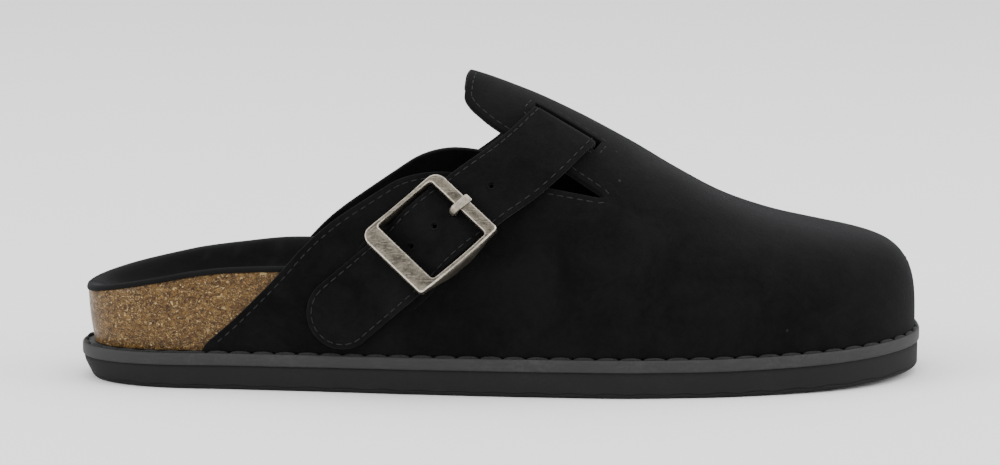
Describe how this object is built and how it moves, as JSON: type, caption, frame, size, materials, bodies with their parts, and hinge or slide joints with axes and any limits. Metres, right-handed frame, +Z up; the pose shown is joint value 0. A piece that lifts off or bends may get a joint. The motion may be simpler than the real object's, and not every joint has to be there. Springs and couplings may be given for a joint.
{
  "type": "suede clog",
  "caption": "Closed-toe backless suede clog with a cork footbed, a stitched welt, a high instep tongue and one buckled strap.",
  "frame": {"origin": "middle of the footprint's bounding box, on the ground", "axes": "+X from heel to toe, +Y to the inner (medial) side, +Z up"},
  "size_m": [0.285, 0.1036, 0.1032],
  "materials": {
    "outsole_foam": "matt black foam rubber with a fine skin",
    "welt_rubber": "satin dark grey rubber, lighter at the cut edge",
    "cork": "lacquered granulated cork",
    "lining_suede": "smooth black suede lining",
    "upper_suede": "napped black suede",
    "strap_suede": "napped black suede, edge-stitched",
    "antique_nickel": "antique nickel, worn bright at the edges"
  },
  "bodies": {
    "root": {"outsole": "outsole_foam", "welt": "welt_rubber", "cork_footbed": "cork", "insole": "lining_suede", "upper": "upper_suede", "strap": "strap_suede", "buckle_frame": "antique_nickel", "buckle_prong": "antique_nickel", "buckle_hinge_bar": "antique_nickel", "buckle_tab": "strap_suede"}
  },
  "joints": []
}
